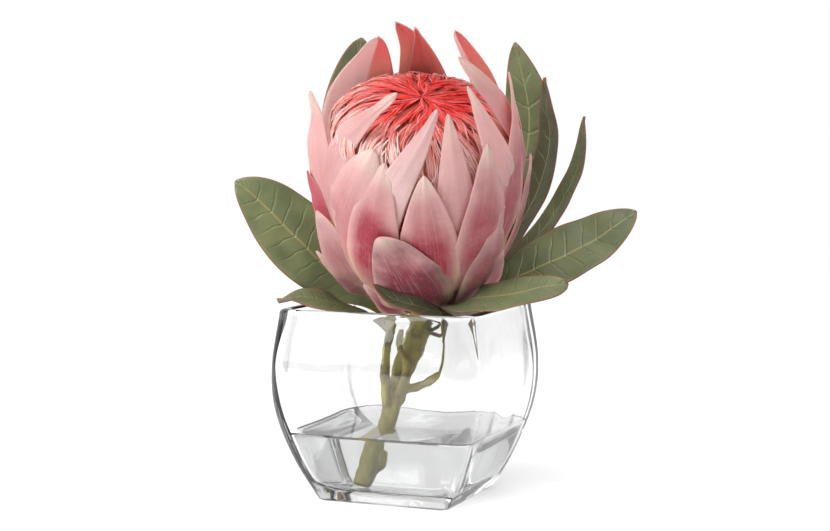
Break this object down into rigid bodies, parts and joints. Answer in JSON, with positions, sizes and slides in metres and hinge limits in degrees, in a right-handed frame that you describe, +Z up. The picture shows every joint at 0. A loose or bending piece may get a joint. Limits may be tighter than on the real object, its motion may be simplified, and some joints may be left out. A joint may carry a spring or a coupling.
{
  "type": "protea flower",
  "caption": "Cut protea bloom with layered pink bracts round a red floret dome and long green leaves, standing in a square clear glass vase with water",
  "frame": {"origin": "Middle of the vase's flat underside, on the table", "axes": "+Z up; the vase's four flat sides face +X, -X, +Y and -Y, and the bloom leans towards -Y, a little to +X"},
  "size_m": [0.2079, 0.1457, 0.2549],
  "materials": {
    "vase_glass": "clear, polished",
    "water": "clear water, still",
    "stem_olive": "fibrous, olive",
    "bract_pink": "satin, velvety pink",
    "floret_coral": "fine, hairy coral red",
    "leaf_green": "leathery grey-green with red edge"
  },
  "bodies": {
    "root": {"vase": "vase_glass", "water": "water", "stem": "stem_olive", "bracts": "bract_pink", "florets": "floret_coral", "leaf_left_large": "leaf_green", "leaf_left_low": "leaf_green", "leaf_back_left": "leaf_green", "leaf_right_tall": "leaf_green", "leaf_right_dark": "leaf_green", "leaf_right_far": "leaf_green", "leaf_right_large": "leaf_green", "leaf_right_low": "leaf_green", "leaf_front_small": "leaf_green"}
  },
  "joints": []
}
